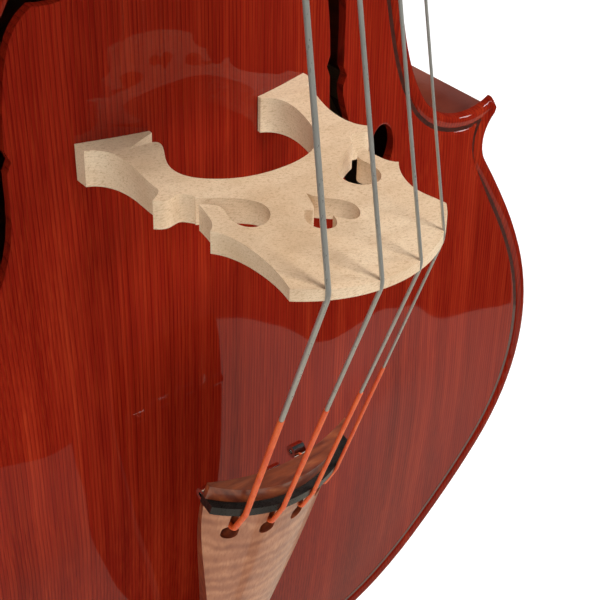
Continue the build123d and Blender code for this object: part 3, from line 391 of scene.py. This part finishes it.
STEPS_PER_METRE = 1e5           # corners less than one step apart count as one
SAME_PLACE = 1e-6
ON_GLUE_PLANE = 2e-5
HOLE_HEIGHTS = (0.15, 0.30)     # a sound hole is between these tall
HOLE_MARGIN = 0.014             # and stands further than this from the outline, unlike the purfling
OUTLINE_SPACING = 0.004
HOLE_SPACING = 0.003
RING_INSETS = (0.0004, 0.0010, 0.0018, 0.0027, 0.0038, 0.0052, 0.0068, 0.0082, 0.0088, 0.0092,
               0.0106, 0.0120, 0.0124, 0.0129, 0.0150, 0.0185, 0.0225)     # rows of corners inside the edge
HOLE_RINGS = (0.0012, 0.0035)   # rows of corners round a sound hole
GRID_SPACING = 0.007            # corners over the rest of the plate
GRID_MARGIN = 0.026             # kept this far from the outline
GRID_HOLE_MARGIN = 0.006        # and this far from the holes


def closed_loops(pairs):
    """Join pairs of (x, z) corners, counted in whole steps, into closed loops in metres."""
    links = {}
    for a, b in pairs:
        links.setdefault(a, []).append(b)
        links.setdefault(b, []).append(a)
    loops = []
    unused = {a: True for a in links}
    while unused:
        start = next(iter(unused))
        loop = [start]
        del unused[start]
        while True:
            onward = [b for b in links[loop[-1]] if b in unused]
            if not onward:
                break
            loop.append(onward[0])
            del unused[onward[0]]
        loops.append(np.array(loop) / STEPS_PER_METRE)
    return loops


def plate_loops(source, side):
    """A CAD plate's outline, and the rims of the holes through it, as loops of (x, z)."""
    work = bmesh.new()
    work.from_mesh(source.data)
    bmesh.ops.remove_doubles(work, verts=work.verts, dist=SAME_PLACE)
    wall, back, front = 0.3, -0.99, 0.8     # how far a wall, the flat back and the front tilt outwards
    outline, rims = [], []
    for edge in work.edges:
        if len(edge.link_faces) != 2:
            continue
        tilts = [side * face.normal.y for face in edge.link_faces]
        if min(abs(tilt) for tilt in tilts) > wall:
            continue
        corners = tuple((round(v.co.x * STEPS_PER_METRE), round(v.co.z * STEPS_PER_METRE))
                        for v in edge.verts)
        if corners[0] == corners[1]:
            continue
        if min(tilts) < back and all(abs(v.co.y - side * GLUE_Y) < ON_GLUE_PLANE for v in edge.verts):
            outline.append(corners)
        elif max(tilts) > front:
            rims.append(corners)
    work.free()
    outline = max(closed_loops(outline), key=lambda loop: np.ptp(loop[:, 1]))
    shortest, tallest = HOLE_HEIGHTS
    holes = [loop for loop in closed_loops(rims)
             if shortest < np.ptp(loop[:, 1]) < tallest and distance_to(loop, outline).min() > HOLE_MARGIN]
    return outline, holes


def is_inside(points, loop):
    """Whether each point lies inside the loop."""
    within = np.zeros(len(points), bool)
    for (ax, az), (bx, bz) in zip(loop, np.roll(loop, -1, 0)):
        if az == bz:
            continue
        crosses = (az > points[:, 1]) != (bz > points[:, 1])
        reach = (bx - ax) * (points[:, 1] - az) / (bz - az) + ax
        within ^= crosses & (points[:, 0] < reach)
    return within


def distance_to(points, loop):
    """Distance of each point from the loop."""
    nearest = np.full(len(points), np.inf)
    for a, b in zip(loop, np.roll(loop, -1, 0)):
        along = b - a
        share = np.clip(((points - a) @ along) / max(along @ along, 1e-12), 0, 1)
        nearest = np.minimum(nearest, np.hypot(*(points - a - share[:, None] * along).T))
    return nearest


def beside_loop(loop, amount):
    """The loop's points moved to its inside by amount (outside if negative)."""
    along = np.roll(loop, -1, 0) - np.roll(loop, 1, 0)
    along /= np.maximum(np.hypot(*along.T), 1e-9)[:, None]
    left = np.stack([-along[:, 1], along[:, 0]], 1)
    nudge = 1e-4
    if is_inside(loop + left * nudge, loop).mean() < 0.5:
        left = -left
    return loop + left * amount


def evened(loop, spacing):
    """The loop with points added wherever two stand further apart than spacing."""
    points = []
    for a, b in zip(loop, np.roll(loop, -1, 0)):
        count = max(1, math.ceil(np.hypot(*(b - a)) / spacing))
        points += [a + (b - a) * n / count for n in range(count)]
    return np.array(points)


def arch_field(source, side, outline):
    """Smooth heights of a CAD plate over the glue plane on a regular grid: its origin and heights."""
    step = FIELD_STEP
    blur_reach, blur_width = 4, 1.3         # in grid steps
    origin = outline.min(0) - blur_reach * step
    shape = np.ceil((outline.max(0) + blur_reach * step - origin) / step).astype(int)
    heights = np.full(shape, CHANNEL)
    weights = np.ones(shape)
    rows_and_columns = [origin[k] + step * np.arange(shape[k]) for k in (0, 1)]
    flat = np.stack(np.meshgrid(*rows_and_columns, indexing="ij"), -1).reshape(-1, 2)
    arched = is_inside(flat, outline) & (distance_to(flat, outline) > FLAT_RIM)
    steepest, lowest = 0.7, 0.004           # a hit beyond these is in a hole or beside it
    for index in np.flatnonzero(arched):
        x, z = flat[index]
        hit, place, normal, face = source.ray_cast(Vector((x, side, z)), Vector((0, -side, 0)))
        row, column = divmod(index, shape[1])
        if hit and abs(normal.y) > steepest and side * place.y > GLUE_Y + lowest:
            heights[row, column] = side * place.y - GLUE_Y
        else:
            weights[row, column] = 0.0
    reach = np.arange(-blur_reach, blur_reach + 1)
    bell = np.exp(-0.5 * (reach / blur_width)**2)
    bell /= bell.sum()

    def blurred(values):
        for axis in (0, 1):
            values = np.apply_along_axis(lambda row: np.convolve(row, bell, mode="same"), axis, values)
        return values

    return origin, blurred(heights * weights) / np.maximum(blurred(weights), 1e-6)


def sampled(field, points):
    """Heights of a field at the points, between its grid's corners."""
    origin, heights = field
    place = (points - origin) / FIELD_STEP
    low = np.clip(np.floor(place).astype(int), 0, np.array(heights.shape) - 2)
    share = place - low
    x, z = low.T
    u, v = share.T
    return ((1 - u) * (1 - v) * heights[x, z] + u * (1 - v) * heights[x + 1, z]
            + (1 - u) * v * heights[x, z + 1] + u * v * heights[x + 1, z + 1])


def plate_heights(points, gap, field, holes):
    """Height of a plate's face over the glue plane: rounded edge, channel, purfling groove, arch."""
    arch = sampled(field, points)
    edge = np.interp(gap, [at for at, level in EDGE_HEIGHTS], [level for at, level in EDGE_HEIGHTS])
    rounding = np.clip(1 - gap / EDGE_BEAD, 0, 1)
    edge = np.where(gap < EDGE_BEAD, EDGE_BEAD * (1 + np.sqrt(1 - rounding**2)), edge)
    blend = np.clip((gap - ARCH_START) / ARCH_BLEND, 0, 1)
    blend = blend * blend * (3 - 2 * blend)
    height = edge * (1 - blend) + arch * blend
    for hole in holes:
        height -= HOLE_DROP * np.clip(1 - distance_to(points, hole) / HOLE_EASE, 0, 1)
    return height


def arched_plate(name, node_name, side, slot_name):
    """A plate with a rounded edge and its holes, standing for its CAD solid."""
    source = nodes[node_name]
    outline, holes = plate_loops(source, side)
    outline = evened(outline, OUTLINE_SPACING)
    holes = [evened(hole, HOLE_SPACING) for hole in holes]
    field = arch_field(source, side, outline)
    free = [outline] + holes
    outline_slack, hole_slack = 0.96, 0.9       # a ring's corners that come nearer than this are left out
    for inset in RING_INSETS:
        ring = beside_loop(outline, inset)
        keep = is_inside(ring, outline) & (distance_to(ring, outline) > outline_slack * inset)
        free.append(ring[keep])
    for hole in holes:
        for inset in HOLE_RINGS:
            ring = beside_loop(hole, -inset)
            free.append(ring[distance_to(ring, hole) > hole_slack * inset])
    low, high = outline.min(0), outline.max(0)
    rows_and_columns = [np.arange(low[k], high[k], GRID_SPACING) for k in (0, 1)]
    grid = np.stack(np.meshgrid(*rows_and_columns), -1).reshape(-1, 2)
    grid = grid[is_inside(grid, outline)]
    grid = grid[distance_to(grid, outline) > GRID_MARGIN]
    for hole in holes:
        grid = grid[~is_inside(grid, hole) & (distance_to(grid, hole) > GRID_HOLE_MARGIN)]
    free.append(grid)
    points = np.concatenate(free)
    edges = []
    start = 0
    for loop in [outline] + holes:
        edges += [(start + n, start + (n + 1) % len(loop)) for n in range(len(loop))]
        start += len(loop)
    made = delaunay_2d_cdt([Vector(p) for p in points], edges, [], 0, 1e-7)
    flat = np.array([tuple(v) for v in made[0]])
    triangles = np.array([tuple(face) for face in made[2]])
    middles = flat[triangles].mean(1)
    solid = is_inside(middles, outline)
    for hole in holes:
        solid &= ~is_inside(middles, hole)
    triangles = triangles[solid]
    gap = distance_to(flat, outline)
    outer = plate_heights(flat, gap, field, holes)
    hollow = np.clip((gap - HOLLOW_START) / HOLLOW_BLEND, 0, 1)
    inner = np.maximum(0.0, outer - PLATE_THICKNESS) * hollow
    count = len(flat)
    corners = [(x, side * (GLUE_Y + h), z) for (x, z), h in zip(flat, outer)]
    corners += [(x, side * (GLUE_Y + h), z) for (x, z), h in zip(flat, inner)]
    seen = {}
    for a, b, c in triangles:
        for pair in ((a, b), (b, c), (c, a)):
            seen[frozenset(pair)] = None if frozenset(pair) in seen else pair
    faces = [tuple(t) for t in triangles] + [tuple(t[::-1] + count) for t in triangles]
    faces += [(pair[1], pair[0], pair[0] + count, pair[1] + count) for pair in seen.values() if pair]
    mesh = bpy.data.meshes.new(name)
    mesh.from_pydata(corners, [], [[int(c) for c in face] for face in faces])
    tidy = bmesh.new()
    tidy.from_mesh(mesh)
    bmesh.ops.delete(tidy, geom=[v for v in tidy.verts if not v.link_faces], context="VERTS")
    bmesh.ops.recalc_face_normals(tidy, faces=tidy.faces)
    tidy.to_mesh(mesh)
    tidy.free()
    finish_piece(name, mesh, slot_name, node_name)


def finish_piece(name, mesh, slot_name, node_name):
    """Link a mesh as a smooth-shaded piece of the body, with a slot's finish, in a CAD node's stead."""
    mesh.materials.append(materials[slot_name])
    mesh.polygons.foreach_set("use_smooth", [True] * len(mesh.polygons))
    mesh.set_sharp_from_angle(angle=math.radians(50))
    piece = bpy.data.objects.new(name, mesh)
    bpy.context.scene.collection.objects.link(piece)
    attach(piece, "body")
    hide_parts(node_name)


arched_plate("belly", "top_plate", -1, "belly_spruce")
arched_plate("back", "back_plate", 1, "varnished_maple")


# ---------------------------------------------------------------- light, floor, camera
def stage_floor(half, glow):
    """A pale floor under the endpin, faintly glowing, that reflections don't show."""
    mesh = bpy.data.meshes.new("floor")
    corners = [(-half, -half, 0), (half, -half, 0), (half, half, 0), (-half, half, 0)]
    mesh.from_pydata(corners, [], [(0, 1, 2, 3)])
    floor = bpy.data.objects.new("floor", mesh)
    bpy.context.scene.collection.objects.link(floor)
    shade = Shading("floor", roughness=0.9)
    cloud = shade.noise(shade.scaled((2.0, 2.0, 2.0)), detail=1.0)
    shade.colour(shade.ramp(cloud, [(0.0, grey(0.88)), (1.0, grey(0.92))]))
    shade.shader.inputs["Emission Color"].default_value = (1, 1, 1, 1)
    shade.shader.inputs["Emission Strength"].default_value = glow
    mesh.materials.append(shade.material)
    floor.visible_glossy = False


def soft_box(name, place, target, width, height, power):
    """A rectangular area light at place, facing target, with its power in watts."""
    light = bpy.data.lights.new(name, "AREA")
    light.shape = "RECTANGLE"
    light.size = width
    light.size_y = height
    light.energy = power
    lamp = bpy.data.objects.new(name, light)
    bpy.context.scene.collection.objects.link(lamp)
    lamp.location = place
    lamp.rotation_euler = (target - place).to_track_quat("-Z", "Y").to_euler()


def reflector(name, near, far, width, brightness):
    """A glowing card just over the floor, beside a line, that shows only in glossy surfaces."""
    over_floor = 0.002
    tucked_under = 0.25
    along = (Vector(far) - Vector(near)).normalized()
    across = Vector((-along.y, along.x)) * width
    start = Vector(near) - along * tucked_under
    corners = [start, Vector(far), Vector(far) + across, start + across]
    mesh = bpy.data.meshes.new(name)
    mesh.from_pydata([(c.x, c.y, over_floor) for c in corners], [], [(0, 1, 2, 3)])
    card = bpy.data.objects.new(name, mesh)
    bpy.context.scene.collection.objects.link(card)
    glow = Shading(name)
    glow.shader.inputs["Base Color"].default_value = (0, 0, 0, 1)
    glow.shader.inputs["Emission Color"].default_value = (1.0, 0.90, 0.72, 1)
    glow.shader.inputs["Emission Strength"].default_value = brightness
    mesh.materials.append(glow.material)
    card.visible_camera = False
    card.visible_diffuse = False
    card.visible_shadow = False


def world(level, mirrored_level, backdrop_level):
    """Even light from all round, dim in reflections, and as pale as the floor behind the part."""
    scene_world = bpy.data.worlds.new("studio")
    bpy.context.scene.world = scene_world
    scene_world.use_nodes = True
    tree = scene_world.node_tree
    path = tree.nodes.new("ShaderNodeLightPath")
    strength = tree.nodes.new("ShaderNodeMapRange")
    strength.inputs["To Min"].default_value = level
    strength.inputs["To Max"].default_value = mirrored_level
    tree.links.new(path.outputs["Is Glossy Ray"], strength.inputs["Value"])
    seen = tree.nodes.new("ShaderNodeMapRange")
    seen.inputs["To Max"].default_value = backdrop_level
    tree.links.new(path.outputs["Is Camera Ray"], seen.inputs["Value"])
    tree.links.new(strength.outputs[0], seen.inputs["To Min"])
    tree.links.new(seen.outputs[0], tree.nodes["Background"].inputs["Strength"])
    tree.nodes["Background"].inputs["Color"].default_value = (*grey(1.0), 1.0)


stage_floor(half=30.0, glow=0.42)
body_middle = Vector((0.0, 0.0, bridge_z))
soft_box("left", body_middle + Vector((-2.0, -1.9, 1.3)), body_middle, 1.3, 1.3, 20.0)
soft_box("right", body_middle + Vector((2.1, -1.5, 1.1)), body_middle, 0.6, 0.6, 22.0)
soft_box("top", body_middle + Vector((0.6, -1.5, 2.6)), body_middle, 0.8, 0.8, 62.0)
soft_box("back", body_middle + Vector((0.4, 3.0, 1.2)), body_middle, 2.2, 2.2, 50.0)
reflector("low_right", (0.13, -0.27), (0.39, -0.71), 1.1, 0.66)
reflector("low_left", (-0.55, -0.20), (-0.55, -0.74), 0.62, 0.48)
world(level=0.22, mirrored_level=0.03, backdrop_level=0.62)
bpy.context.scene.view_settings.view_transform = "Standard"

# The camera is fitted to the photograph: the bridge's feet and crown, the strings and the lower bout.
eye = Vector((-0.42956, crown_y - 0.62119, bridge_z + 0.39030))
aim = Vector((0.04713, crown_y - 0.03000, bridge_z - 0.11792))
camera_roll = math.radians(1.71)
camera_data = bpy.data.cameras.new("camera")
camera_data.lens = 87.7
camera_data.sensor_width = 36.0
camera_data.clip_end = 50.0
camera = bpy.data.objects.new("camera", camera_data)
bpy.context.scene.collection.objects.link(camera)
facing = (aim - eye).normalized()
right = facing.cross(Vector((0, 0, 1))).normalized()
upward = right.cross(facing)
turned_right = right * math.cos(camera_roll) + upward * math.sin(camera_roll)
turned_up = upward * math.cos(camera_roll) - right * math.sin(camera_roll)
turn = Matrix((turned_right, turned_up, -facing)).transposed()
camera.matrix_world = Matrix.Translation(eye) @ turn.to_4x4()
bpy.context.scene.camera = camera
